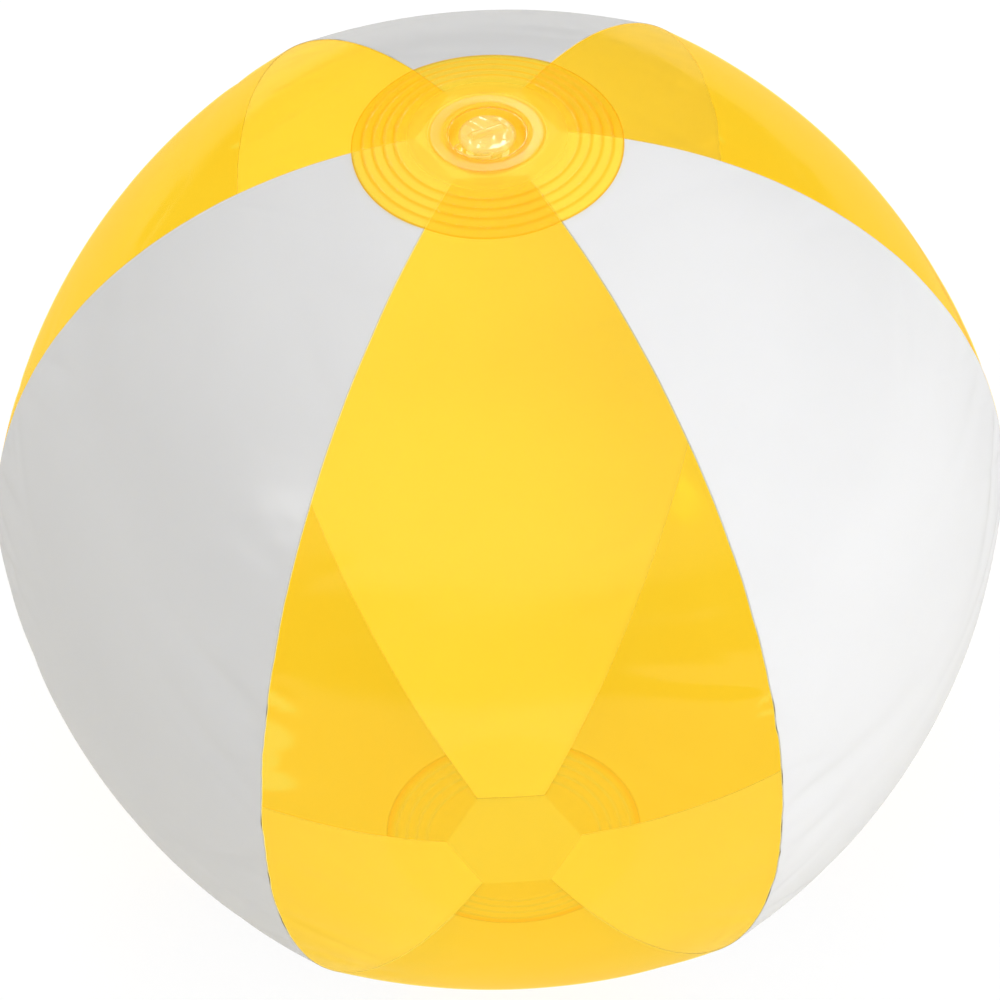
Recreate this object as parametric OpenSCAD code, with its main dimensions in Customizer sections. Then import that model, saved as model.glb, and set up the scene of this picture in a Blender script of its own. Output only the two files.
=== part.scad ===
/* [Ball] */
// Diameter of the inflated ball across the middles of opposite panels
ball_d = 276; // [240:1:340]
// Distance that a panel's own bend axis lies behind the ball's axis
panel_back = 3.6; // [0:0.2:8]
// Sideways bow radius of a panel, flatter than the ball itself
panel_bow_r = 190; // [160:1:260]
// Thickness of the film that panels and end discs are cut from
film_t = 0.25; // [0.15:0.05:0.5]
// Depth of the weld fin that each panel turns in at a seam
fin_w = 1.2; // [0.8:0.1:3]
// Gap between two films in a weld
weld_gap = 0.04; // [0.02:0.01:0.1]

/* [End discs] */
// Diameter of the discs that close both ends
disc_d = 75; // [66:1:90]
// Flat that a disc keeps around the valve flange
flat_margin = 0.6; // [0.4:0.1:2]
// Distance from the flat to the straight-cut tips of the panels
tip_margin = 0.6; // [0.4:0.1:4]
// Number of raised weld rings on a disc
ring_count = 4; // [2:1:5]
// Distance between weld rings
ring_pitch = 3; // [2:0.1:3.4]
// Distance from the edge of the disc to the outermost ring
ring_edge = 2.9; // [1.5:0.1:4]
// Radius of the bead that forms a ring
ring_bead_r = 0.5; // [0.4:0.05:0.8]
// Height of a ring above the film
ring_h = 0.3; // [0.15:0.05:0.35]

/* [Valve] */
// Bore of the inflation stem
bore_d = 8; // [6:0.2:9]
// Wall of the inflation stem
stem_wall = 1.75; // [1.2:0.05:2]
// Length of the inflation stem
stem_l = 13; // [11:0.5:20]
// Depth of the stem's rim under the film
rim_drop = 2; // [1.4:0.1:2.6]
// Overhang of the lip around the stem's rim
lip_over = 0.75; // [0.4:0.05:0.9]
// Height of that lip
lip_h = 1.6; // [1:0.1:2.2]
// Width of the flange that is welded under the top disc
flange_w = 5; // [3.5:0.1:7]
// Thickness of the flange at its root
flange_t = 0.9; // [0.7:0.05:1.4]
// Thickness of the flange at its edge
flange_edge_t = 0.4; // [0.25:0.05:0.6]
// Wall of the soft collar that folds in and out
collar_t = 0.6; // [0.4:0.05:0.8]
// Depth of the collar under the film while the valve is pushed in
collar_depth = 7; // [6.4:0.1:8]
// Radius of the fold at the bottom of the collar
collar_fold_r = 2.4; // [1.6:0.1:3]
// Thickness of the check flap
flap_t = 0.5; // [0.3:0.05:0.8]
// Reach of the check flap past the bore
flap_over = 1.2; // [0.6:0.05:1.6]
// Width of the check flap's hinge tab
flap_tab_w = 4; // [3:0.2:5]
// Distance from the stem to the check flap's hinge line
flap_hinge_out = 0.9; // [0.6:0.05:1.5]
// Height of the lug on the stem that carries the hinge line
flap_lug_h = 2.7; // [2:0.1:4]
// Gap between the check flap and its seat
flap_gap = 0.1; // [0.05:0.05:0.2]

/* [Plug] */
// Diameter of the plug's head
head_d = 16; // [15:0.2:18]
// Thickness of the plug's head
head_t = 2.2; // [1.6:0.1:3]
// Length of the plug's shank
shank_l = 7; // [5:0.5:9]
// Lead chamfer at the end of the shank
shank_lead = 1; // [0.4:0.1:1.6]
// Radial clearance of the shank in the bore
shank_fit = 0.05; // [0.02:0.01:0.1]
// Length of the grip bar across the head
grip_l = 10; // [7:0.5:11]
// Width of the grip bar
grip_w = 2.2; // [1.6:0.1:3]
// Height of the grip bar above the head
grip_h = 1.5; // [1:0.1:2.5]
// Turn of the grip bar as it was pushed home
grip_turn = 20; // [0:5:90]
// Thickness of the strap that keeps the plug
strap_t = 0.7; // [0.5:0.05:0.9]
// Edge of the strap above and below its feet
strap_edge = 0.15; // [0.1:0.05:0.4]
// Direction of the strap's end on the plug, seen from above
strap_start = -80; // [-120:5:-40]
// Sweep of the strap around the stem
strap_sweep = 100; // [60:5:150]
// Gap between the plug's head and the strap
strap_gap = 0.9; // [0.6:0.05:1.2]
// Width of the strap's two feet
foot_w = 3; // [2:0.2:4]
// Height of the strap's feet
foot_h = 1; // [0.6:0.1:1.2]
// Distance from the strap's ends to its feet
foot_inset = 0.3; // [0.1:0.05:0.8]
// Gap where a soft piece meets a moving one
soft_gap = 0.15; // [0.1:0.01:0.3]

/* [Hidden] */
$fn = 144;

// Colours, and how much of each the film and the mouldings hold back
yellow = "#ffc61c";
white = "#f4f4f4";
clear_yellow = "#ffe27a";
film_alpha = 0.6;
moulding_alpha = 0.7;

// The panels share the ball evenly, and the first one faces -Y
panel_step = 60;
panel_half = panel_step / 2;
front_turn = -90;

// Valve radii, from the bore outwards
bore_r = bore_d / 2;
stem_r = bore_r + stem_wall;
lip_r = stem_r + lip_over;
head_r = head_d / 2;
strap_r = head_r + strap_gap;
collar_r = strap_r + strap_t + strap_gap + collar_t;
throat_r = collar_r + weld_gap;
flange_r = throat_r + flange_w;

// Height of a panel's skin above the ball's centre, at radius r along a seam
function seam_sag(r) = panel_bow_r - sqrt(pow(panel_bow_r, 2) - pow(r * sin(panel_half), 2));
function seam_z(r) = sqrt(pow(panel_r - seam_sag(r), 2) - pow(r * cos(panel_half) + panel_back, 2));

// The end discs: a flat round the flange, then a dome that sits on the seams
ball_r = ball_d / 2;
panel_r = ball_r + panel_back;
disc_r = disc_d / 2;
flat_r = flange_r + flat_margin;
tip_cut = flat_r + tip_margin;
rise = seam_z(flat_r) - seam_z(disc_r);
dome_c = (pow(flat_r, 2) + pow(seam_z(flat_r), 2) - pow(disc_r, 2) - pow(seam_z(disc_r), 2)) / (2 * rise);
dome_r = norm([flat_r, seam_z(flat_r) - dome_c]) + weld_gap;
flat_h = dome_c + sqrt(pow(dome_r, 2) - pow(flat_r, 2));

// Heights: the ball stands on the flat of its bottom disc
centre_z = flat_h + film_t;
film_z = centre_z + flat_h;
stem_end = -rim_drop - stem_l;
head_z = -rim_drop + soft_gap;
head_foot_z = head_z + head_t / 2;
lip_foot_z = -rim_drop - lip_h / 2;
hinge_y = stem_r + flap_hinge_out;

// Steps of a bend in a valve piece, and facets of a ring bead and of the wide, thin domes
bend_steps = 8;
bead_fn = 32;
dome_fn = 480;

// Points on an arc about c from angle a to angle b
function arc(c, r, a, b) =
    [for (k = [0:bend_steps]) c + r * [cos(a + (b - a) * k / bend_steps), sin(a + (b - a) * k / bend_steps)]];

// Solid of revolution about a panel's bend axis, whose skin is that panel carried all the way round
module bowed_body(inset) {
    translate([-panel_back, 0, 0])
        rotate([90, 0, 0])
            rotate_extrude()
                intersection() {
                    translate([panel_r - panel_bow_r, 0])
                        circle(r = panel_bow_r - inset);
                    translate([0, -ball_r])
                        square([ball_d, ball_d]);
                }
}

// Share of the ball between two seam planes, from a plane at x = start outwards
module seam_wedge(start, inset) {
    side = inset / cos(panel_half);
    reach = ball_d;
    translate([0, 0, -ball_d])
        linear_extrude(height = 2 * ball_d)
            polygon([
                [start, side - start * tan(panel_half)],
                [reach, side - reach * tan(panel_half)],
                [reach, reach * tan(panel_half) - side],
                [start, start * tan(panel_half) - side]
            ]);
}

// One bowed film panel with a weld fin turned in along both seams
module panel(index) {
    translate([0, 0, centre_z])
        rotate([0, 0, front_turn + index * panel_step])
            difference() {
                intersection() {
                    bowed_body(0);
                    seam_wedge(tip_cut, weld_gap / 2);
                }
                intersection() {
                    bowed_body(film_t);
                    seam_wedge(tip_cut - fin_w, weld_gap / 2 + film_t);
                }
                bowed_body(fin_w);
            }
}

module yellow_panel_front() {
    color(yellow, film_alpha) panel(0);
}

module white_panel_right() {
    color(white) panel(1);
}

module yellow_panel_back_right() {
    color(yellow, film_alpha) panel(2);
}

module white_panel_back() {
    color(white) panel(3);
}

module yellow_panel_back_left() {
    color(yellow, film_alpha) panel(4);
}

module white_panel_left() {
    color(white) panel(5);
}

// Disc with its weld rings, pole towards +Z and the ball's centre at the origin
module end_disc(hole_r) {
    difference() {
        union() {
            intersection() {
                translate([0, 0, dome_c])
                    sphere(r = dome_r + film_t, $fn = dome_fn);
                cylinder(r = disc_r, h = flat_h + film_t);
            }
            for (k = [0:ring_count - 1])
                weld_ring(disc_r - ring_edge - k * ring_pitch);
        }
        intersection() {
            translate([0, 0, dome_c])
                sphere(r = dome_r, $fn = dome_fn);
            translate([0, 0, -film_t])
                cylinder(r = disc_d, h = flat_h + film_t);
        }
        if (hole_r > 0)
            cylinder(r = hole_r, h = ball_d);
    }
}

// One raised ring at radius r on the dome
module weld_ring(r) {
    skin_r = dome_r + film_t + ring_h - ring_bead_r;
    rotate_extrude()
        translate([r, dome_c + sqrt(pow(skin_r, 2) - pow(r, 2))])
            circle(r = ring_bead_r, $fn = bead_fn);
}

module top_disc() {
    color(yellow, film_alpha)
        translate([0, 0, centre_z])
            end_disc(throat_r);
}

module bottom_disc() {
    color(yellow, film_alpha)
        translate([0, 0, centre_z])
            rotate([180, 0, 0])
                end_disc(0);
}

// Valve pieces are drawn with the underside of the top disc's flat at z = 0
module at_valve() {
    translate([0, 0, film_z])
        children();
}

// Flat ring under the disc, thinned towards its edge
module valve_flange() {
    color(clear_yellow, moulding_alpha)
        at_valve()
            rotate_extrude()
                polygon([
                    [throat_r, -weld_gap],
                    [flange_r, -weld_gap],
                    [flange_r, -flange_edge_t],
                    [throat_r + collar_t, -flange_t],
                    [throat_r, -flange_t]
                ]);
}

// Thin cup between flange and stem, which turns inside out when the stem is pulled
module valve_collar() {
    fold = [collar_r - collar_fold_r, collar_fold_r - collar_depth];
    color(clear_yellow, moulding_alpha)
        at_valve()
            rotate_extrude()
                polygon(concat(
                    [[collar_r - collar_t, -weld_gap], [collar_r, -weld_gap]],
                    arc(fold, collar_fold_r, 0, -90),
                    [[stem_r + soft_gap, -collar_depth], [stem_r + soft_gap, collar_t - collar_depth]],
                    arc(fold, collar_fold_r - collar_t, -90, 0)
                ));
}

// Inflation tube with a lip round its rim and a lug for the flap's hinge
module valve_stem() {
    lug_root = stem_r - stem_wall / 2;
    color(clear_yellow, moulding_alpha)
        at_valve() {
            rotate_extrude()
                polygon([
                    [bore_r, -rim_drop],
                    [lip_r, -rim_drop],
                    [lip_r, -rim_drop - lip_h],
                    [stem_r, -rim_drop - lip_h - lip_over],
                    [stem_r, stem_end],
                    [bore_r, stem_end]
                ]);
            translate([-flap_tab_w / 2, 0, stem_end])
                rotate([90, 0, 90])
                    linear_extrude(height = flap_tab_w)
                        polygon([
                            [lug_root, 0],
                            [hinge_y, 0],
                            [hinge_y, flap_hinge_out],
                            [lug_root, flap_lug_h]
                        ]);
        }
}

// Thin disc that lies against the inner end of the stem, with a tab to its hinge
module check_flap() {
    color(clear_yellow, moulding_alpha)
        at_valve()
            translate([0, 0, stem_end - flap_gap - flap_t]) {
                cylinder(r = bore_r + flap_over, h = flap_t);
                translate([-flap_tab_w / 2, 0, 0])
                    cube([flap_tab_w, hinge_y, flap_t]);
            }
}

// Stopper: a shank in the bore, a round-edged head and a grip bar across it
module valve_plug() {
    edge_r = head_t / 2;
    shank_r = bore_r - shank_fit;
    color(clear_yellow, moulding_alpha)
        at_valve()
            translate([0, 0, head_z]) {
                rotate_extrude()
                    polygon(concat(
                        [[0, -shank_l], [shank_r - shank_lead, -shank_l], [shank_r, shank_lead - shank_l]],
                        [[shank_r, 0]],
                        arc([head_r - edge_r, edge_r], edge_r, -90, 90),
                        [[0, head_t]]
                    ));
                rotate([0, 0, grip_turn])
                    grip_bar();
            }
}

// Round-topped bar, set into the head
module grip_bar() {
    side_h = head_t + grip_h - grip_w / 2;
    translate([-grip_l / 2, 0, 0])
        rotate([90, 0, 90])
            linear_extrude(height = grip_l)
                polygon(concat(
                    [[-grip_w / 2, head_t / 2], [grip_w / 2, head_t / 2]],
                    arc([0, side_h], grip_w / 2, 0, 180)
                ));
}

// Part of a ring between two radii, from angle a over a sweep, at mid height z
module ring_part(r_in, r_out, a, sweep, z, h) {
    rotate([0, 0, a])
        rotate_extrude(angle = sweep)
            translate([r_in, z - h / 2])
                square([r_out - r_in, h]);
}

// Strap in the groove round the plug: one foot on the head, the other on the stem's lip
module plug_strap() {
    foot_sweep = foot_w / strap_r * 180 / PI;
    inset_sweep = foot_inset / strap_r * 180 / PI;
    strap_end = strap_start - strap_sweep;
    strap_mid = (head_foot_z + lip_foot_z) / 2;
    strap_h = head_foot_z - lip_foot_z + foot_h + 2 * strap_edge;
    root_r = strap_r + strap_t / 2;
    color(clear_yellow, moulding_alpha)
        at_valve() {
            ring_part(strap_r, strap_r + strap_t, strap_end, strap_sweep, strap_mid, strap_h);
            ring_part(lip_r + soft_gap, root_r, strap_end + inset_sweep, foot_sweep, lip_foot_z, foot_h);
            ring_part(head_r + soft_gap, root_r, strap_start - inset_sweep - foot_sweep, foot_sweep,
                      head_foot_z, foot_h);
        }
}

yellow_panel_front();
white_panel_right();
yellow_panel_back_right();
white_panel_back();
yellow_panel_back_left();
white_panel_left();
top_disc();
bottom_disc();
valve_flange();
valve_collar();
valve_stem();
check_flap();
valve_plug();
plug_strap();
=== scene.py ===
import math
import random

import bmesh
import bpy
import numpy as np
from mathutils import Matrix, Vector


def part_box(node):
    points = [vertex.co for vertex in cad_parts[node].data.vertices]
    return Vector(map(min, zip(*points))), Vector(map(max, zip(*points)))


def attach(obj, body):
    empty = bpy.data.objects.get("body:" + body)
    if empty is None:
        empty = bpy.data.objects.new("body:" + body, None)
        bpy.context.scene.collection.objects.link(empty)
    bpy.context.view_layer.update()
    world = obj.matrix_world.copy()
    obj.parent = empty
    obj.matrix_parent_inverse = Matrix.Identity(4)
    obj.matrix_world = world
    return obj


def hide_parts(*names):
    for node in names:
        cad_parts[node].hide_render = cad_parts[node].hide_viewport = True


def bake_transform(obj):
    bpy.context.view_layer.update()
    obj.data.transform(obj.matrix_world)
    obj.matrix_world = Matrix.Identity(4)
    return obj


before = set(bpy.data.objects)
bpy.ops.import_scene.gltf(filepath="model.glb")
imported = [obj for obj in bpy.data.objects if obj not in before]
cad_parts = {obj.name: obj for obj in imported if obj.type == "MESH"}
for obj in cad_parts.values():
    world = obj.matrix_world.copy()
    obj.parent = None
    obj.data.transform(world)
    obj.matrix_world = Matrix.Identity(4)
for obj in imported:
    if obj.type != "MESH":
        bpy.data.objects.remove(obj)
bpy.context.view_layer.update()        # nodes of the imported ball, baked in place; the rest is removed
scene = bpy.context.scene
mm = 0.001               # sizes below are millimetres, Blender works in metres
anyPhase = (0, 6.3)      # radians, for waves that start anywhere

# what the solids already say
panelLow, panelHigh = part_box("yellow_panel_front")
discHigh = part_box("top_disc")[1]
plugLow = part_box("valve_plug")[0]
ballRadius = -panelLow.y / mm        # at the middle of a panel
tipCut = -panelHigh.y / mm           # panel tips are cut straight this far from the axis
discRadius = discHigh.x / mm
centreZ = discHigh.z / 2 / mm        # both ends are alike, and the ball stands on z = 0
print("frame loaded: ball radius %.1f mm, centre at %.1f mm" % (ballRadius, centreZ))


# helpers
def toLinear(hexColour):
    parts = [int(hexColour[k:k + 2], 16) / 255 for k in (1, 3, 5)]
    return [c / 12.92 if c <= 0.04045 else ((c + 0.055) / 1.055) ** 2.4 for c in parts] + [1.0]


def addNode(tree, kind, settings=None, links=None):
    node = tree.nodes.new(kind)
    for key, value in (settings or {}).items():
        if isinstance(key, int) or key in node.inputs:
            node.inputs[key].default_value = value
        else:
            setattr(node, key, value)
    for key, source in (links or {}).items():
        tree.links.new(source, node.inputs[key])
    return node


def newMaterial(name):
    material = bpy.data.materials.new(name)
    material.use_nodes = True
    material.node_tree.nodes.clear()
    return material, material.node_tree


def gridFaces(rows, columns, wrapRows=False, wrapColumns=False, first=0):
    i, j = np.meshgrid(np.arange(rows if wrapRows else rows - 1),
                       np.arange(columns if wrapColumns else columns - 1), indexing="ij")
    down, right = (i + 1) % rows, (j + 1) % columns
    quads = np.stack([i * columns + j, down * columns + j, down * columns + right, i * columns + right], -1)
    return quads.reshape(-1, 4) + first


def makePiece(name, points, faces, material, sharpAngle=50, marks=None):
    mesh = bpy.data.meshes.new(name)
    mesh.from_pydata((np.asarray(points).reshape(-1, 3) * mm).tolist(), [], np.asarray(faces).tolist())
    for mark, values in (marks or {}).items():
        mesh.attributes.new(mark, "FLOAT", "POINT").data.foreach_set("value", np.ravel(values).astype(np.float32))
    work = bmesh.new()
    work.from_mesh(mesh)
    bmesh.ops.remove_doubles(work, verts=work.verts, dist=0.001 * mm)   # closes poles
    bmesh.ops.recalc_face_normals(work, faces=work.faces)
    work.to_mesh(mesh)
    work.free()
    mesh.shade_smooth()
    mesh.set_sharp_from_angle(angle=math.radians(sharpAngle))
    mesh.materials.append(material)
    piece = bpy.data.objects.new(name, mesh)
    scene.collection.objects.link(piece)
    return piece


# closed thin solid between two skins of the same grid
def filmSolid(name, outside, inside, marks, material, wrapColumns=False, openRows=(True, True)):
    rows, columns = outside.shape[:2]
    count = rows * columns
    index = np.arange(count).reshape(rows, columns)
    faces = [gridFaces(rows, columns, False, wrapColumns), gridFaces(rows, columns, False, wrapColumns, count)]
    rims = [index[k] for k, isOpen in zip((0, -1), openRows) if isOpen]
    if wrapColumns:
        rims = [np.append(rim, rim[0]) for rim in rims]
    else:
        rims += [index[:, 0], index[:, -1]]
    for rim in rims:
        faces.append(np.stack([rim[:-1], rim[1:], rim[1:] + count, rim[:-1] + count], -1))
    marks = {mark: np.concatenate([np.broadcast_to(v, (rows, columns)).ravel() for v in pair])
             for mark, pair in marks.items()}
    return makePiece(name, np.concatenate([outside.reshape(-1, 3), inside.reshape(-1, 3)]),
                     np.concatenate(faces), material, marks=marks)


def revolved(profile, turns):
    angle = np.arange(turns) * 2 * math.pi / turns
    r, z = np.asarray(profile, float).T
    return np.stack([np.outer(r, np.cos(angle)), np.outer(r, np.sin(angle)),
                     np.repeat(z[:, None], turns, 1)], -1)


# corner cutting at the quarters of each side, for the soft corners of a moulding
def softened(loop, passes=2):
    loop = np.asarray(loop, float)
    for _ in range(passes):
        ahead = np.roll(loop, -1, axis=0)
        quarters = [0.75 * loop + 0.25 * ahead, 0.25 * loop + 0.75 * ahead]
        loop = np.stack(quarters, 1).reshape(-1, loop.shape[1])
    return loop


def smoothStep(x):
    x = np.clip(x, 0, 1)
    return x * x * (3 - 2 * x)


# materials
# Plasticised PVC film, dyed through and calendered: clear, deep yellow,
# with a wet-looking gloss and slow waves from the rolls
def calenderedYellowFilm(name, spec):
    material, tree = newMaterial(name)
    place = addNode(tree, "ShaderNodeTexCoord")
    wave = addNode(tree, "ShaderNodeTexNoise", {"Scale": 1 / (spec["wave"] * mm), "Detail": 1.5},
                   {"Vector": place.outputs["Object"]})
    bump = addNode(tree, "ShaderNodeBump", {"Strength": 1.0, "Distance": spec["waveDepth"] * mm},
                   {"Height": wave.outputs["Fac"]})
    facing = addNode(tree, "ShaderNodeLayerWeight", {"Blend": 0.5}, {"Normal": bump.outputs["Normal"]})
    grazing = addNode(tree, "ShaderNodeMath", {"operation": "POWER", 1: spec["rimPower"]},
                      {0: facing.outputs["Facing"]})
    mirror = addNode(tree, "ShaderNodeMath",
                     {"operation": "MULTIPLY_ADD", 1: spec["rimGloss"], 2: spec["gloss"]}, {0: grazing.outputs[0]})
    # dye is a little uneven, a few centimetres across
    dye = addNode(tree, "ShaderNodeTexNoise", {"Scale": 1 / (spec["dyePatch"] * mm), "Detail": 2.0},
                  {"Vector": place.outputs["Object"]})
    tint = addNode(tree, "ShaderNodeMix",
                   {"data_type": "RGBA", 6: toLinear(spec["thin"]), 7: toLinear(spec["thick"])},
                   {0: dye.outputs["Fac"]})
    weld = addNode(tree, "ShaderNodeAttribute", {"attribute_name": "weld"})
    tint = addNode(tree, "ShaderNodeMix", {"data_type": "RGBA", 7: toLinear(spec["weld"])},
                   {0: weld.outputs["Fac"], 6: tint.outputs[2]})
    # heated film turns paler and a little cloudy; on the panels the same mark paints reflection, as pale tongues
    # where the film is drawn up to a seam
    cloud = addNode(tree, "ShaderNodeAttribute", {"attribute_name": "cloud"})
    tint = addNode(tree, "ShaderNodeMix", {"data_type": "RGBA", 7: toLinear(spec["pale"])},
                   {0: cloud.outputs["Fac"], 6: tint.outputs[2]})
    clear = addNode(tree, "ShaderNodeBsdfTransparent", {}, {"Color": tint.outputs[2]})
    lit = addNode(tree, "ShaderNodeBsdfDiffuse", {"Color": toLinear(spec["haze"])})
    glow = addNode(tree, "ShaderNodeBsdfTranslucent", {"Color": toLinear(spec["haze"])})
    haze = addNode(tree, "ShaderNodeMixShader", {0: spec["hazeGlow"]}, {1: lit.outputs[0], 2: glow.outputs[0]})
    milk = addNode(tree, "ShaderNodeMapRange", {3: spec["hazeShare"], 4: spec["weldHaze"]},
                   {0: weld.outputs["Fac"]})
    milk = addNode(tree, "ShaderNodeMath", {"operation": "MULTIPLY_ADD", 1: spec["cloudHaze"]},
                   {0: cloud.outputs["Fac"], 2: milk.outputs[0]})
    body = addNode(tree, "ShaderNodeMixShader", {},
                   {0: milk.outputs[0], 1: clear.outputs[0], 2: haze.outputs[0]})
    gloss = addNode(tree, "ShaderNodeBsdfGlossy", {"Color": (1, 1, 1, 1), "Roughness": spec["roughness"]},
                    {"Normal": bump.outputs["Normal"]})
    film = addNode(tree, "ShaderNodeMixShader", {},
                   {0: mirror.outputs[0], 1: body.outputs[0], 2: gloss.outputs[0]})
    addNode(tree, "ShaderNodeOutputMaterial", {}, {"Surface": film.outputs[0]})
    return material


# The same film filled with white pigment: hides what lies behind,
# lets a soft glow through and shines a little softer
def calenderedWhiteFilm(name, spec):
    material, tree = newMaterial(name)
    place = addNode(tree, "ShaderNodeTexCoord")
    wave = addNode(tree, "ShaderNodeTexNoise", {"Scale": 1 / (spec["wave"] * mm), "Detail": 2.0},
                   {"Vector": place.outputs["Object"]})
    bump = addNode(tree, "ShaderNodeBump", {"Strength": 1.0, "Distance": spec["waveDepth"] * mm},
                   {"Height": wave.outputs["Fac"]})
    cloud = addNode(tree, "ShaderNodeTexNoise", {"Scale": 1 / (spec["cloud"] * mm), "Detail": 3.0},
                    {"Vector": place.outputs["Object"]})
    tone = addNode(tree, "ShaderNodeMix",
                   {"data_type": "RGBA", 6: toLinear(spec["light"]), 7: toLinear(spec["dark"])},
                   {0: cloud.outputs["Fac"]})
    # painted light: the inside faces and the fins take a brighter tone than the outside, standing in for light inside
    # the ball
    inner = addNode(tree, "ShaderNodeAttribute", {"attribute_name": "inner"})
    # painted light: the tips are painted whiter under the top disc, and the seam grey is left off there; the lower
    # half is counted as far away
    plan = addNode(tree, "ShaderNodeVectorMath",
                   {"operation": "MULTIPLY_ADD", 1: (1, 1, -1), 2: (0, 0, centreZ * mm)},
                   {0: place.outputs["Object"]})
    plan = addNode(tree, "ShaderNodeVectorMath", {"operation": "MAXIMUM", 1: (-1, -1, 0)}, {0: plan.outputs[0]})
    reach = addNode(tree, "ShaderNodeVectorMath", {"operation": "LENGTH"}, {0: plan.outputs[0]})
    tipFrom, tipTo = ((discRadius - inset) * mm for inset in spec["tipEdge"])
    tip = addNode(tree, "ShaderNodeMapRange", {1: tipFrom, 2: tipTo, 3: 0.0, 4: 1.0}, {0: reach.outputs["Value"]})
    tipLight = addNode(tree, "ShaderNodeMath", {"operation": "MULTIPLY", 1: spec["tipLightShare"]}, {0: tip.outputs[0]})
    litShare = addNode(tree, "ShaderNodeMath", {"operation": "MAXIMUM"},
                    {0: inner.outputs["Fac"], 1: tipLight.outputs[0]})
    tone = addNode(tree, "ShaderNodeMix", {"data_type": "RGBA", 7: toLinear(spec["inner"])},
                   {0: litShare.outputs[0], 6: tone.outputs[2]})
    # painted shade: the outside of a white roll is greyed along the seam groove, most where the films part, and not
    # under the disc
    weld = addNode(tree, "ShaderNodeAttribute", {"attribute_name": "weld"})
    bare = addNode(tree, "ShaderNodeMath", {"operation": "SUBTRACT", 0: 1.0}, {1: tip.outputs[0]})
    shadedSeam = addNode(tree, "ShaderNodeMath", {"operation": "MULTIPLY"},
                     {0: weld.outputs["Fac"], 1: bare.outputs[0]})
    tone = addNode(tree, "ShaderNodeMix", {"data_type": "RGBA", 7: toLinear(spec["weld"])},
                   {0: shadedSeam.outputs[0], 6: tone.outputs[2]})
    rough = addNode(tree, "ShaderNodeMapRange", {3: spec["roughness"][0], 4: spec["roughness"][1]},
                    {0: cloud.outputs["Fac"]})
    skin = addNode(tree, "ShaderNodeBsdfPrincipled", {"IOR": 1.53},
                   {"Base Color": tone.outputs[2], "Roughness": rough.outputs[0],
                    "Normal": bump.outputs["Normal"]})
    glow = addNode(tree, "ShaderNodeBsdfTranslucent", {}, {"Color": tone.outputs[2]})
    # more of the light goes in than comes out again, so the ball stays bright inside and white outside
    share = addNode(tree, "ShaderNodeMapRange", {3: spec["glowShare"], 4: spec["innerGlow"]},
                    {0: inner.outputs["Fac"]})
    film = addNode(tree, "ShaderNodeMixShader", {},
                   {0: share.outputs[0], 1: skin.outputs[0], 2: glow.outputs[0]})
    addNode(tree, "ShaderNodeOutputMaterial", {}, {"Surface": film.outputs[0]})
    return material


# Injection-moulded soft PVC without pigment: water-clear with a yellow cast, rounded, wet highlights
def mouldedSoftPvc(name, spec):
    material, tree = newMaterial(name)
    place = addNode(tree, "ShaderNodeTexCoord")
    flow = addNode(tree, "ShaderNodeTexNoise", {"Scale": 1 / (spec["flow"] * mm), "Detail": 2.0},
                   {"Vector": place.outputs["Object"]})
    bump = addNode(tree, "ShaderNodeBump", {"Strength": 1.0, "Distance": spec["flowDepth"] * mm},
                   {"Height": flow.outputs["Fac"]})
    facing = addNode(tree, "ShaderNodeLayerWeight", {"Blend": 0.5}, {"Normal": bump.outputs["Normal"]})
    grazing = addNode(tree, "ShaderNodeMath", {"operation": "POWER", 1: spec["rimPower"]},
                      {0: facing.outputs["Facing"]})
    mirror = addNode(tree, "ShaderNodeMath",
                     {"operation": "MULTIPLY_ADD", 1: spec["rimGloss"], 2: spec["gloss"]}, {0: grazing.outputs[0]})
    tint = addNode(tree, "ShaderNodeMix",
                   {"data_type": "RGBA", 6: toLinear(spec["thin"]), 7: toLinear(spec["thick"])},
                   {0: facing.outputs["Facing"]})
    clear = addNode(tree, "ShaderNodeBsdfTransparent", {}, {"Color": tint.outputs[2]})
    lit = addNode(tree, "ShaderNodeBsdfDiffuse", {"Color": toLinear(spec["haze"])})
    glow = addNode(tree, "ShaderNodeBsdfTranslucent", {"Color": toLinear(spec["haze"])})
    haze = addNode(tree, "ShaderNodeMixShader", {0: spec["hazeGlow"]}, {1: lit.outputs[0], 2: glow.outputs[0]})
    body = addNode(tree, "ShaderNodeMixShader", {0: spec["hazeShare"]},
                   {1: clear.outputs[0], 2: haze.outputs[0]})
    gloss = addNode(tree, "ShaderNodeBsdfGlossy", {"Color": (1, 1, 1, 1), "Roughness": spec["roughness"]},
                    {"Normal": bump.outputs["Normal"]})
    pvc = addNode(tree, "ShaderNodeMixShader", {},
                  {0: mirror.outputs[0], 1: body.outputs[0], 2: gloss.outputs[0]})
    addNode(tree, "ShaderNodeOutputMaterial", {}, {"Surface": pvc.outputs[0]})
    return material


# thin, thick, pale and weld are what one surface lets through; haze is the colour of the cloudiness in the film
yellowLook = {
    "thin": "#fff4ae", "thick": "#fff1a4", "dyePatch": 45.0,
    # on the panels, pale and cloudHaze paint the reflection of the tongues
    "pale": "#fff9cc", "cloudHaze": 0.02,
    "weld": "#fffce4", "weldHaze": 0.02,
    "haze": "#ffd95a", "hazeShare": 0.005, "hazeGlow": 0.5,
    "gloss": 0.014, "rimGloss": 0.1, "rimPower": 5.0, "roughness": 0.14,
    "wave": 11.0, "waveDepth": 0.05,
}
discLook = {
    **yellowLook,
    "thin": "#fffac8", "thick": "#fff9c0",
    "pale": "#fff9c4", "cloudHaze": 0.30,
    "weld": "#ffe282", "weldHaze": 0.10,
    "haze": "#ffdc50", "hazeShare": 0.18,
}
underLook = {
    **discLook,
    "thin": "#fff7bc", "thick": "#fff6b4", "cloudHaze": 0.06,
    "weld": "#fffef4", "weldHaze": 0.14,
    "haze": "#ffe88c", "hazeShare": 0.02,
}
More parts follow.
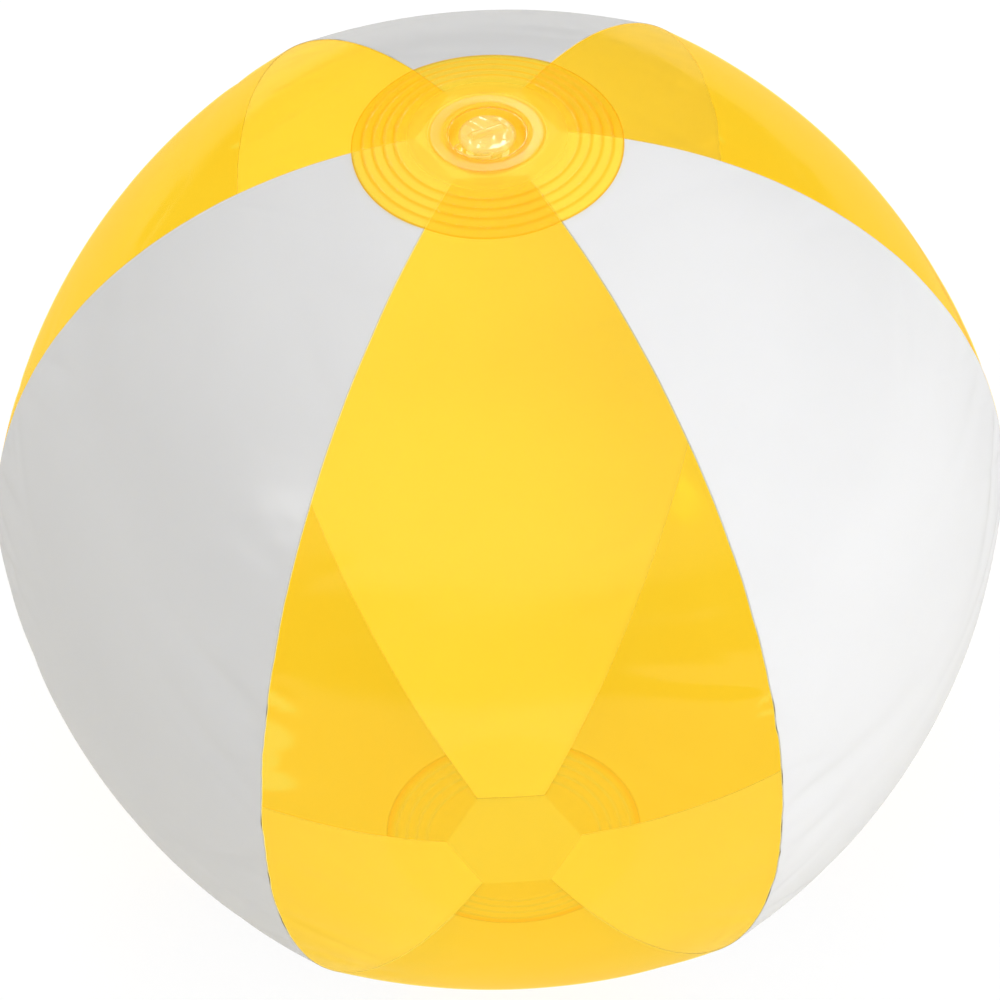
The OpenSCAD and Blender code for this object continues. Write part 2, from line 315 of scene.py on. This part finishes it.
whiteLook = {
    "light": "#dedfe2", "dark": "#dbdcdf", "cloud": 30.0,
    # painted light: the first tone below is the brighter one of the inside faces and fins; painted shade: the weld
    # grey darkens the seam groove on the outside of a roll
    "inner": "#fdfdfd", "weld": "#8c8468",
    "tipLightShare": 0.75, "tipEdge": (0.2, 0.8),      # how much painted light whitens the tips under the disc, and from where
    "glowShare": 0.5, "innerGlow": 0.15,
    "roughness": (0.20, 0.26), "wave": 12.0, "waveDepth": 0.05,
}
plugLook = {
    "thin": "#fffcea", "thick": "#fff6cc",
    "haze": "#fff2a6", "hazeShare": 0.30, "hazeGlow": 0.5,
    "gloss": 0.03, "rimGloss": 0.4, "rimPower": 3.0, "roughness": 0.09,
    "flow": 4.0, "flowDepth": 0.05,
}
collarLook = {
    **plugLook,
    "thin": "#fff4b4", "thick": "#ffe180",
    "haze": "#ffd648", "hazeShare": 0.06, "gloss": 0.01,
}
flangeLook = {**collarLook, "thin": "#ffec94", "thick": "#ffdf7a"}
tubeLook = {
    **plugLook,
    "thin": "#fffefa", "thick": "#fffcf0", "hazeShare": 0.02,
    "gloss": 0.01, "rimGloss": 0.1,
}
yellowFilm = calenderedYellowFilm("calendered_yellow_pvc_film", yellowLook)
discFilm = calenderedYellowFilm("welded_yellow_pvc_film", discLook)
underFilm = calenderedYellowFilm("clear_welded_yellow_pvc_film", underLook)
whiteFilm = calenderedWhiteFilm("calendered_white_pvc_film", whiteLook)
softPvc = mouldedSoftPvc("injection_moulded_soft_pvc", plugLook)
cupPvc = mouldedSoftPvc("injection_moulded_thin_pvc", collarLook)
flangePvc = mouldedSoftPvc("injection_moulded_thick_pvc", flangeLook)
clearPvc = mouldedSoftPvc("extruded_clear_soft_pvc", tubeLook)
print("materials made")

# film panels
panels = {
    "bowRadius": 190.0,      # sideways bow
    "axisBack": 3.6,         # bend axis behind the ball's own axis
    "film": 0.25,
    "fin": 0.42,             # weld fin turned in along a seam, where it still shows
    "seamGap": 0.02,         # from a fin to its seam
    "curl": 0.3,             # reach of the roll into the fin
    "rows": 261,
    "columns": 61,
    "edgeShare": 0.5,        # closes up the columns towards the seams
    "rollAt": (0.2, 0.4, 0.6, 0.8),
    "finColumns": 3,
    "farWeld": 0.3,          # how pale the welds of the yellow panels behind are, against the front one
    "pressedEdge": 3.0,      # width over which a tip goes thin under the bottom disc
}
panelNames = ["yellow_panel_front", "white_panel_right", "yellow_panel_back_right",
              "white_panel_back", "yellow_panel_back_left", "white_panel_left"]
panelStep = math.radians(60)
frontTurn = math.radians(-90)
bendRadius = ballRadius + panels["axisBack"]
bowCentre = bendRadius - panels["bowRadius"]

# welding gathers the film: dents that run from a seam into the panels, deepest round the girth
puckers = {
    "spacing": (5.0, 12.0),
    "width": (1.8, 3.6),
    "reach": (3.5, 10.0),
    "depth": (0.08, 0.45),
    "deepEvery": 3,          # one in so many is deeper, longer and wider
    "deepTimes": (3.2, 1.6, 1.5),
    "lean": 0.7,
    "girth": 28.0,           # degrees above and below the girth
    "ends": 0.2,             # share of the depth near the ends
    "lastDent": 80.0,        # degrees
    "seed": 11,
}
# a seam isn't quite straight: its slow and quick waves as lengths and height, and a sidestep where its films part
waver = {
    "slowAndQuick": ((18.0, 60.0, 0.22), (6.0, 14.0, 0.06)),
    "waves": 4,
    "jog": 0.25,
    "seed": 77,
}


def seamDents(seam):
    pick = random.Random(puckers["seed"] + seam)
    length = bendRadius * math.radians(puckers["lastDent"])
    dents = []
    at = -length
    while at < length:
        at += pick.uniform(*puckers["spacing"])
        near = math.exp(-(math.degrees(at / bendRadius) / puckers["girth"]) ** 2)
        deeper, longer, wider = puckers["deepTimes"] if len(dents) % puckers["deepEvery"] == 0 else (1, 1, 1)
        depth = deeper * (puckers["ends"] + (1 - puckers["ends"]) * near)
        dents.append({
            "at": at,
            "width": wider * pick.uniform(*puckers["width"]),
            "reach": longer * pick.uniform(*puckers["reach"]),
            "depth": {side: depth * pick.uniform(*puckers["depth"]) for side in (-1, 1)},
            "lean": {side: pick.uniform(-puckers["lean"], puckers["lean"]) for side in (-1, 1)},
        })
    return dents


dentsOf = [seamDents(k) for k in range(6)]

# painted reflection: pale tongues where the film is drawn up to a seam: place along the seam, half length, reach and
# lean.
# Those of the front panel are placed as in the photograph, the rest go with the deeper dents.
sheenTongues = {
    (0, -1): [(50.0, 2.8, 10.5, -0.5), (37.0, 6.4, 10.0, -0.2), (28.5, 6.0, 6.0, 0.0), (20.5, 5.4, 12.0, 0.0)],
    (0, 1): [(35.5, 1.3, 5.5, 0.0), (41.5, 1.3, 5.5, -0.6)],
}
sheenTongueForm = {"share": 0.4, "farthest": 55.0, "edge": 0.4}       # size against its dent, last place, soft edge
for index in (2, 4):
    for side in (-1, 1):
        deepDents = dentsOf[(index + (side > 0)) % 6][::puckers["deepEvery"]]
        sheenTongues[index, side] = [
            (dent["at"], sheenTongueForm["share"] * dent["width"], sheenTongueForm["share"] * dent["reach"], dent["lean"][side])
            for dent in deepDents if abs(dent["at"]) < sheenTongueForm["farthest"]]

# short places where the two films of a seam part and show a painted-shade dark line: place along the seam, half
# length.
# The two front seams gape most, and theirs are placed as in the photograph.
partings = {
    0: [(45.5, 2.2), (2.5, 2.4), (-24.0, 3.2), (-50.0, 5.0)],
    1: [(37.0, 3.0), (29.0, 2.2), (10.0, 3.2), (-12.0, 3.2), (-25.0, 1.8), (-50.0, 5.0)],
}
frontSeams = tuple(partings)
partingForm = {"half": 2.2, "front": (0.3, 1.0), "others": (0.06, 0.3)}     # painted shade grey of a seam, closed and parted
for seam, dents in enumerate(dentsOf):
    partings.setdefault(seam, [(dent["at"], partingForm["half"]) for dent in dents[::puckers["deepEvery"]]])


def seamWander(seam, along):
    pick = random.Random(waver["seed"] + seam)
    near = np.exp(-(np.degrees(along / bendRadius) / puckers["girth"]) ** 2)
    total = np.zeros_like(along)
    for shortest, longest, height in waver["slowAndQuick"]:
        for _ in range(waver["waves"]):
            phase = 2 * math.pi * along / pick.uniform(shortest, longest)
            total += height / 2 * np.sin(phase + pick.uniform(*anyPhase))
    for k, (at, half) in enumerate(partings[seam]):
        total += (-1) ** k * waver["jog"] * np.exp(-((along - at) / half) ** 2)
    return total * (puckers["ends"] + (1 - puckers["ends"]) * near)


def tongueSheen(index, side, along, inward):
    cloud = np.zeros_like(inward)
    for at, half, reach, lean in sheenTongues.get((index, side), ()):
        out = np.hypot((along - at - lean * inward) / half, inward / reach)
        cloud = np.maximum(cloud, smoothStep((1 - out) / sheenTongueForm["edge"]))
    return cloud


def seamShadeGrey(seam, along):
    closed, parted = partingForm["front" if seam in frontSeams else "others"]
    share = np.minimum(sum(np.exp(-((along - at) / half) ** 4) for at, half in partings[seam]), 1)
    return closed + (parted - closed) * share


def dentDepth(seam, side, along, inward):
    total = np.zeros_like(inward)
    for dent in dentsOf[seam]:
        across = (along - dent["at"] - dent["lean"][side] * inward) / dent["width"]
        share = inward / dent["reach"]
        total += dent["depth"][side] * np.exp(-across ** 2) * share * np.exp(1 - share)
    return total


def panelSkin(index):
    bow, curl, fin = panels["bowRadius"], panels["curl"], panels["fin"]
    endAngle = math.acos((tipCut + panels["axisBack"]) / bendRadius)
    theta = np.linspace(-endAngle, endAngle, panels["rows"])
    along = bendRadius * theta
    slope = math.tan(panelStep / 2) * np.cos(theta)      # of the seam, seen along the panel
    rowScale = np.sqrt(1 + slope ** 2)
    corner, down = {}, {}
    for side in (-1, 1):
        seam = (index + (side > 0)) % 6
        shift = side * seamWander(seam, along) - panels["seamGap"] * rowScale
        start = math.tan(panelStep / 2) * panels["axisBack"] - shift
        lean = start - slope * bowCentre
        y = (-lean + np.sqrt(lean ** 2 - rowScale ** 2 * (lean ** 2 - (slope * bow) ** 2))) / rowScale ** 2
        corner[side] = np.arcsin(y / bow)
        down[side] = np.stack([-side * slope, -np.ones_like(slope)], -1) / rowScale[:, None]
    onBow = lambda angle: np.stack([bow * np.sin(angle), bowCentre + bow * np.cos(angle)], -1)
    # columns close up towards both seams
    u = np.linspace(-1, 1, panels["columns"])
    u = panels["edgeShare"] * np.sin(u * math.pi / 2) + (1 - panels["edgeShare"]) * u
    low, high = -corner[-1] + curl / bow, corner[1] - curl / bow
    angle = (low + high)[:, None] / 2 + (high - low)[:, None] / 2 * u
    sheet = onBow(angle)
    # the cloud mark of a panel is the painted reflection of its tongues
    sink, cloud = np.zeros_like(angle), np.zeros_like(angle)
    for side in (-1, 1):
        inward = np.abs(side * corner[side][:, None] - angle) * bow - curl
        sink += dentDepth((index + (side > 0)) % 6, side, along[:, None], inward)
        cloud = np.maximum(cloud, tongueSheen(index, side, along[:, None], inward))
    sheet -= sink[..., None] * np.stack([np.sin(angle), np.cos(angle)], -1)
    # roll into the fin, then the fin itself
    edge = {}
    for side in (-1, 1):
        point = onBow(side * corner[side])
        bowEnd = sheet[:, 0 if side < 0 else -1]
        rollEnd = point + curl * down[side]
        t = np.array(panels["rollAt"])[None, :, None]
        roll = (1 - t) ** 2 * bowEnd[:, None] + 2 * t * (1 - t) * point[:, None] + t ** 2 * rollEnd[:, None]
        strip = np.concatenate([roll, rollEnd[:, None], (point + (curl + fin) / 2 * down[side])[:, None],
                                (point + fin * down[side])[:, None]], 1)
        edge[side] = strip if side > 0 else strip[:, ::-1]
    flat = np.concatenate([edge[-1], sheet, edge[1]], 1)
    y, r = flat[..., 0], flat[..., 1]
    x = -panels["axisBack"] + r * np.cos(theta)[:, None]
    z = r * np.sin(theta)[:, None]
    turn = frontTurn + index * panelStep
    skin = np.stack([x * math.cos(turn) - y * math.sin(turn), x * math.sin(turn) + y * math.cos(turn),
                     centreZ + z], -1)
    # the outermost columns each side are the fin, the ones before them the roll
    width, finWidth = edge[1].shape[1], panels["finColumns"]
    marks = {"roll": np.zeros(x.shape), "fin": np.zeros(x.shape), "seamShade": np.zeros(x.shape),
             "cloud": np.pad(cloud, ((0, 0), (width, width)))}
    marks["roll"][:, :width] = marks["roll"][:, -width:] = 1
    marks["fin"][:, :finWidth] = marks["fin"][:, -finWidth:] = 1
    marks["seamShade"][:, :width] = seamShadeGrey(index, along)[:, None]
    marks["seamShade"][:, -width:] = seamShadeGrey((index + 1) % 6, along)[:, None]
    return skin, marks


def gridNormals(skin):
    normal = np.cross(np.gradient(skin, axis=1), np.gradient(skin, axis=0))
    return normal / np.linalg.norm(normal, axis=-1, keepdims=True)


for index, name in enumerate(panelNames):
    skin, mark = panelSkin(index)
    inside = skin - panels["film"] * gridNormals(skin)
    isYellow = name.startswith("yellow")
    # outside and inside: a yellow weld is pale right through; a white one gets painted shade grey on the outside of
    # its roll, and its fin and inside take the painted-light tone
    if isYellow:
        # the weld of the bottom disc has pressed the tips thin
        fromEdge = discRadius - np.hypot(skin[..., 0], skin[..., 1])
        pressed = smoothStep(fromEdge / panels["pressedEdge"]) * (skin[..., 2] < centreZ)
        weld = np.maximum(mark["roll"] * (1.0 if index == 0 else panels["farWeld"]), pressed)
        marks = {"weld": (weld, weld), "cloud": (mark["cloud"], mark["cloud"])}
    else:
        marks = {"weld": ((mark["roll"] - mark["fin"]) * mark["seamShade"], 0.0), "inner": (mark["fin"], 1.0)}
    piece = filmSolid("film_" + name, skin, inside, marks, yellowFilm if isYellow else whiteFilm)
    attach(piece, "ball")
    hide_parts(name)
print("panels made")

# end discs
discs = {
    "film": 0.25,
    "gap": 0.05,             # over the panels
    "flat": 16.74,           # kept flat round the valve
    "blend": 2.2,            # from the flat onto the panels
    "throat": 11.14,
    "rings": 4,
    "ringPitch": 3.0,
    "ringEdge": 2.9,
    "ringHeight": 0.3,
    "ringWidth": 0.45,
    "rim": 0.4,              # squeezed edge, deeper in colour; on the top disc this is painted shadow along its edge
    "overFlange": ((16.3, 0.3, 0.4), (11.8, 0.2, 0.4)),    # film drawn over the flange: radius, height, width
    "cloudy": (19.0, 25.0),  # heat of the flange weld, full and faded out
    "underWeld": 0.9,        # the bottom disc's rings are cleaner: share of weld and of cloud
    "underCloud": 0.3,
    "flatSteps": 10,
    "domeSteps": 48,
    "beadSteps": 9,
    "turns": 240,
}
flatHeight = centreZ - discs["film"]


def discSkin(holeRadius):
    ringRadii = [discRadius - discs["ringEdge"] - k * discs["ringPitch"] for k in range(discs["rings"])]
    radii = set(np.linspace(holeRadius, discs["flat"], discs["flatSteps"]))
    radii |= set(np.linspace(discs["flat"], discRadius, discs["domeSteps"]))
    acrossBead = np.linspace(-2, 2, discs["beadSteps"])
    for ring in ringRadii:
        radii |= set(ring + discs["ringWidth"] * acrossBead)
    for ring, height, width in discs["overFlange"] if holeRadius else ():
        radii |= set(ring + width * acrossBead)
    radii |= {discRadius - discs["rim"] * share for share in (1.05, 0.95)}      # both sides of the rim's line
    r = np.array(sorted(v for v in radii if holeRadius <= v <= discRadius))[:, None]
    turn = np.arange(discs["turns"])[None, :] * 2 * math.pi / discs["turns"]
    psi = (turn - frontTurn + panelStep / 2) % panelStep - panelStep / 2
    x, y = r * np.cos(psi), r * np.sin(psi)
    reach = bowCentre + np.sqrt(panels["bowRadius"] ** 2 - y ** 2)
    onPanels = np.sqrt(reach ** 2 - (x + panels["axisBack"]) ** 2) + discs["gap"]
    share = smoothStep((r - discs["flat"] + discs["blend"] / 2) / discs["blend"])
    under = flatHeight + (onPanels - flatHeight) * share
    bead = sum(np.exp(-((r - ring) / discs["ringWidth"]) ** 2) for ring in ringRadii)
    over = under + discs["film"] + discs["ringHeight"] * bead
    if holeRadius:
        for ring, height, width in discs["overFlange"]:
            over = over + height * np.exp(-((r - ring) / width) ** 2)
    plan = np.stack([r * np.cos(turn), r * np.sin(turn)], -1)
    skins = [np.concatenate([plan, height[..., None]], -1) for height in (over, under)]
    # the rings and the rim take the weld colour; on the top disc's rim it is painted shadow
    weld = np.maximum(np.minimum(bead, 1), r > discRadius - discs["rim"]) + 0 * turn
    cloud = 1 - smoothStep((r - discs["cloudy"][0]) / (discs["cloudy"][1] - discs["cloudy"][0])) + 0 * turn
    return skins, weld, cloud


for name, hole, flip in (("top_disc", discs["throat"], 1), ("bottom_disc", 0.0, -1)):
    skins, weld, cloud = discSkin(hole)
    skins = [skin * np.array([1, flip, flip]) + np.array([0, 0, centreZ]) for skin in skins]
    if not hole:
        weld, cloud = discs["underWeld"] * weld, discs["underCloud"] * weld
    marks = {"weld": (weld, 0.0), "cloud": (cloud, 0.0)}
    piece = filmSolid("film_" + name, *skins, marks, discFilm if hole else underFilm,
                      wrapColumns=True, openRows=(hole > 0, True))
    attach(piece, "ball")
    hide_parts(name)
print("discs made")

# valve
filmZ = discHigh.z / mm - discs["film"]      # underside of the top disc's flat
valve = {
    "flangeRadius": 16.14, "flangeThick": 0.9, "flangeEdge": 0.4,
    "flangeFull": 2.0, "flangeDraft": 0.1,       # how far it keeps its thickness, and its fall over that way
    "collarRadius": 11.1, "collarWall": 0.6, "collarDepth": 7.0, "foldRadius": 2.4,
    "wallRows": (-1.2, -2.4, -3.6),
    "stemRadius": 5.9, "weldGap": 0.04, "turns": 144,
}


def arcPoints(centre, radius, fromDeg, toDeg, steps=8):
    angles = np.radians(np.linspace(fromDeg, toDeg, steps + 1))
    return [(centre[0] + radius * math.cos(a), centre[1] + radius * math.sin(a)) for a in angles]


def ringPiece(name, loop, material):
    skin = revolved(loop, valve["turns"]) + np.array([0, 0, filmZ])
    return makePiece(name, skin, gridFaces(len(loop), valve["turns"], True, True), material)


flangeLoop = softened([
    (discs["throat"], -valve["weldGap"]), ((discs["throat"] + valve["flangeRadius"]) / 2, -valve["weldGap"]),
    (valve["flangeRadius"], -valve["weldGap"]), (valve["flangeRadius"], -valve["flangeEdge"]),
    (discs["throat"] + valve["flangeFull"], -valve["flangeThick"] + valve["flangeDraft"]),
    (discs["throat"], -valve["flangeThick"])])
flange = ringPiece("moulded_valve_flange", flangeLoop, flangePvc)
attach(flange, "ball")
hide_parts("valve_flange")

fold = (valve["collarRadius"] - valve["foldRadius"], valve["foldRadius"] - valve["collarDepth"])
wall = valve["collarWall"]
collarLoop = softened(
    [(valve["collarRadius"] - wall, -valve["weldGap"]), (valve["collarRadius"], -valve["weldGap"])]
    + [(valve["collarRadius"], z) for z in valve["wallRows"]]
    + arcPoints(fold, valve["foldRadius"], 0, -90)
    + [(valve["stemRadius"], -valve["collarDepth"]), (valve["stemRadius"], wall - valve["collarDepth"])]
    + arcPoints(fold, valve["foldRadius"] - wall, -90, 0)
    + [(valve["collarRadius"] - wall, z) for z in valve["wallRows"][::-1]], 1)
collar = ringPiece("folding_valve_collar", collarLoop, cupPvc)
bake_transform(collar)
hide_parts("valve_collar")

# plug with its grip bar, one soft moulding
plug = {
    "headRadius": 8.0, "headThick": 2.2, "shankRadius": 3.95, "shankLength": 7.0, "lead": 1.0,
    "neck": 0.25,
    "gripLength": 10.0, "gripWidth": 2.2, "gripHeight": 1.5, "gripTurn": 20.0, "shoulder": 0.16, "crown": 0.08,
    "lump": 0.12, "lumpLength": 6.5, "lumpSpread": (0.7, 1.4), "lumpWaves": 5,     # shrink marks on the soft head
    "edgeSteps": 12, "topSteps": 40, "turns": 144, "seed": 5,
}
headZ = plugLow.z / mm + plug["shankLength"]


def plugSkin():
    edge = plug["headThick"] / 2
    profile = [(0, -plug["shankLength"]), (plug["shankRadius"] - plug["lead"], -plug["shankLength"]),
               (plug["shankRadius"], plug["lead"] - plug["shankLength"]), (plug["shankRadius"], -plug["neck"]),
               (plug["shankRadius"] + plug["neck"], 0.0)]
    profile += arcPoints((plug["headRadius"] - edge, edge), edge, -90, 90, plug["edgeSteps"])
    profile += [(r, plug["headThick"]) for r in np.linspace(plug["headRadius"] - edge, 0, plug["topSteps"])[1:]]
    skin = revolved(profile, plug["turns"])
    turn = math.radians(plug["gripTurn"])
    along = skin[..., 0] * math.cos(turn) + skin[..., 1] * math.sin(turn)
    across = skin[..., 1] * math.cos(turn) - skin[..., 0] * math.sin(turn)
    past = np.maximum(np.abs(along) - (plug["gripLength"] - plug["gripWidth"]) / 2, 0)
    out = np.hypot(past, across)
    half = plug["gripWidth"] / 2
    onGrip = 1 / (1 + np.exp((out - half) / plug["shoulder"]))
    rise = plug["gripHeight"] * (1 - plug["crown"] * np.minimum(out / half, 1) ** 2) * onGrip
    pick = random.Random(plug["seed"])
    for _ in range(plug["lumpWaves"]):
        heading = pick.uniform(*anyPhase)
        ahead = skin[..., 0] * math.cos(heading) + skin[..., 1] * math.sin(heading)
        phase = 2 * math.pi * ahead / plug["lumpLength"] * pick.uniform(*plug["lumpSpread"])
        rise = rise + (1 - onGrip) * plug["lump"] / 2 * np.sin(phase + pick.uniform(*anyPhase))
    topShare = smoothStep((skin[..., 2] - edge) / edge)
    skin[..., 2] += rise * topShare
    return skin + np.array([0, 0, headZ])


skin = plugSkin()
stopper = makePiece("moulded_valve_plug", skin, gridFaces(skin.shape[0], plug["turns"], False, True), softPvc)
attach(stopper, "plug")
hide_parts("valve_plug")

# strap that keeps the plug: out from the stem's lip, round the groove, in to the head
strap = {
    "lipRadius": 6.65, "headRadius": 8.15, "bandRadius": 9.25, "thick": 0.7, "tall": 1.7,
    "fromDeg": -177.0, "toDeg": -83.0, "lipZ": -2.8, "headZ": -0.75,
    "leaving": (0.0, 0.14), "joining": (0.92, 1.0),      # shares of the way on which it bends out and in
    "squareness": 0.5, "steps": 61, "corners": 16,
}


def strapSkin():
    fromTurn, toTurn = math.radians(strap["fromDeg"]), math.radians(strap["toDeg"])
    passed = lambda t, part: smoothStep((t - part[0]) / (part[1] - part[0]))
    route = []
    for t in np.linspace(0, 1, strap["steps"]):
        radius = strap["bandRadius"]
        radius -= (strap["bandRadius"] - strap["lipRadius"]) * (1 - passed(t, strap["leaving"]))
        radius -= (strap["bandRadius"] - strap["headRadius"]) * passed(t, strap["joining"])
        turn = fromTurn + (toTurn - fromTurn) * t
        z = strap["lipZ"] + (strap["headZ"] - strap["lipZ"]) * smoothStep(t)
        route.append((radius * math.cos(turn), radius * math.sin(turn), filmZ + z))
    route = np.array(route)
    ahead = np.gradient(route, axis=0)
    ahead /= np.linalg.norm(ahead, axis=1, keepdims=True)
    side = np.cross(ahead, [0, 0, 1.0])
    side /= np.linalg.norm(side, axis=1, keepdims=True)
    around = np.arange(strap["corners"]) * 2 * math.pi / strap["corners"]
    squarer = lambda v: np.sign(v) * np.abs(v) ** strap["squareness"]        # rounded oblong section
    wide = strap["thick"] / 2 * squarer(np.cos(around))
    tall = strap["tall"] / 2 * squarer(np.sin(around))
    up = np.array([0, 0, 1.0])
    band = route[:, None] + side[:, None] * wide[None, :, None] + up * tall[None, :, None]
    ends = [np.repeat(route[k][None, None], strap["corners"], 1) for k in (0, -1)]
    return np.concatenate([ends[0], band, ends[1]], 0)


skin = strapSkin()
tether = makePiece("plug_keeper_strap", skin, gridFaces(skin.shape[0], strap["corners"], False, True), softPvc)
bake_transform(tether)
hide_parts("plug_strap")

# the solids of the tube and its flap are true as they are
for name in ("valve_stem", "check_flap"):
    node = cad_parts[name]
    node.data.materials.clear()
    node.data.materials.append(clearPvc)
print("valve made")

# stage: a floor that looks white and keeps a share of the ball's shadow
stage = {"floor": 4000.0, "drop": 0.05, "floorColour": "#f6f6f6", "shadowShare": 0.12}


def paleFloor():
    material, tree = newMaterial("pale_studio_floor")
    path = addNode(tree, "ShaderNodeLightPath")
    seen = addNode(tree, "ShaderNodeMath", {"operation": "MAXIMUM"},
                   {0: path.outputs["Is Camera Ray"], 1: path.outputs["Is Transmission Ray"]})
    seen = addNode(tree, "ShaderNodeMath", {"operation": "MAXIMUM"},
                   {0: seen.outputs[0], 1: path.outputs["Is Glossy Ray"]})
    share = addNode(tree, "ShaderNodeMath", {"operation": "MULTIPLY", 1: 1 - stage["shadowShare"]},
                    {0: seen.outputs[0]})
    matt = addNode(tree, "ShaderNodeBsdfDiffuse", {"Color": toLinear(stage["floorColour"])})
    white = addNode(tree, "ShaderNodeEmission", {"Color": (1, 1, 1, 1), "Strength": 1.0})
    surface = addNode(tree, "ShaderNodeMixShader", {},
                      {0: share.outputs[0], 1: matt.outputs[0], 2: white.outputs[0]})
    addNode(tree, "ShaderNodeOutputMaterial", {}, {"Surface": surface.outputs[0]})
    return material


half = stage["floor"] / 2
floor = makePiece("studio_floor", [(-half, -half, 0), (half, -half, 0), (half, half, 0), (-half, half, 0)],
                  [(0, 1, 2, 3)], paleFloor())
floor.location.z = -stage["drop"] * mm

# world: one wide soft light overhead that fades out at its edge, white where the camera sees it
room = {"bright": 0.95, "dim": 0.0, "towards": (0.05, -0.1, 0.99), "edge": (0.32, 0.52)}
world = bpy.data.worlds.new("studio")
scene.world = world
world.use_nodes = True
tree = world.node_tree
tree.nodes.clear()
place = addNode(tree, "ShaderNodeTexCoord")
towards = Vector(room["towards"]).normalized()
along = addNode(tree, "ShaderNodeVectorMath", {"operation": "DOT_PRODUCT", 1: towards},
                {0: place.outputs["Generated"]})
level = addNode(tree, "ShaderNodeMapRange",
                {"interpolation_type": "SMOOTHSTEP", 1: room["edge"][0], 2: room["edge"][1],
                 3: room["dim"], 4: room["bright"]}, {0: along.outputs["Value"]})
soft = addNode(tree, "ShaderNodeBackground", {"Color": (1, 1, 1, 1)}, {"Strength": level.outputs[0]})
white = addNode(tree, "ShaderNodeBackground", {"Color": (1, 1, 1, 1), "Strength": 1.0})
path = addNode(tree, "ShaderNodeLightPath")
mixed = addNode(tree, "ShaderNodeMixShader", {},
                {0: path.outputs["Is Camera Ray"], 1: soft.outputs[0], 2: white.outputs[0]})
addNode(tree, "ShaderNodeOutputWorld", {}, {"Surface": mixed.outputs[0]})

# the big softboxes would show as hard squares on the film, so only the two small lamps are mirrored
lamps = [
    {"name": "front_softbox", "place": (-260, -2260, 1900), "size": (2300, 1600), "power": 20.5},
    {"name": "front_right_softbox", "place": (900, -2200, 900), "size": (1600, 1200), "power": 13.5},
    {"name": "right_softbox", "place": (2100, -900, 500), "size": (1400, 1400), "power": 36.5},
    {"name": "top_softbox", "place": (0, 300, 2700), "size": (1600, 1600), "power": 18.0},
    {"name": "back_left_softbox", "place": (-1700, 1300, 900), "size": (1400, 1400), "power": 14.5},
    {"name": "back_right_softbox", "place": (1700, 1300, 900), "size": (1400, 1400), "power": 4.0},
    {"name": "back_strip", "place": (120, 1560, 1690), "size": (180, 300), "power": 2.6, "mirrored": True},
    {"name": "left_window", "place": (-1590, -620, 1000), "size": (240, 300), "power": 2.0, "mirrored": True},
]
middle = Vector((0, 0, centreZ * mm))
for spec in lamps:
    light = bpy.data.lights.new(spec["name"], "AREA")
    light.shape = "RECTANGLE"
    light.size, light.size_y = (v * mm for v in spec["size"])
    light.energy = spec["power"]
    lamp = bpy.data.objects.new(spec["name"], light)
    lamp.location = Vector(spec["place"]) * mm
    lamp.rotation_euler = (middle - lamp.location).to_track_quat("-Z", "Y").to_euler()
    lamp.visible_glossy = spec.get("mirrored", False)
    scene.collection.objects.link(lamp)

# camera, at the photograph's angle
shot = {
    "azimuth": -1.24, "elevation": 44.30, "roll": -2.18,
    "distance": 2628.0, "farthest": 20000.0,
    "lens": 332.8, "sensor": 36.0, "shift": (-0.0011, 0.0002),
}
azimuth, elevation, roll = (math.radians(shot[k]) for k in ("azimuth", "elevation", "roll"))
back = Vector((math.sin(azimuth) * math.cos(elevation), -math.cos(azimuth) * math.cos(elevation),
               math.sin(elevation)))
right = Vector((math.cos(azimuth), math.sin(azimuth), 0))
up = back.cross(right)
camera = bpy.data.objects.new("camera", bpy.data.cameras.new("camera"))
camera.data.lens, camera.data.sensor_width = shot["lens"], shot["sensor"]
camera.data.shift_x, camera.data.shift_y = shot["shift"]
camera.data.clip_end = shot["farthest"] * mm
tilted = Matrix((right * math.cos(roll) + up * math.sin(roll),
                 up * math.cos(roll) - right * math.sin(roll), back)).transposed()
camera.matrix_world = Matrix.Translation(middle + back * shot["distance"] * mm) @ tilted.to_4x4()
scene.collection.objects.link(camera)
scene.camera = camera

scene.view_settings.view_transform = "Standard"
scene.cycles.transparent_max_bounces = 64    # light crosses many clear films
scene.cycles.max_bounces = 16
scene.cycles.use_denoising = True
print("stage, light and camera set")
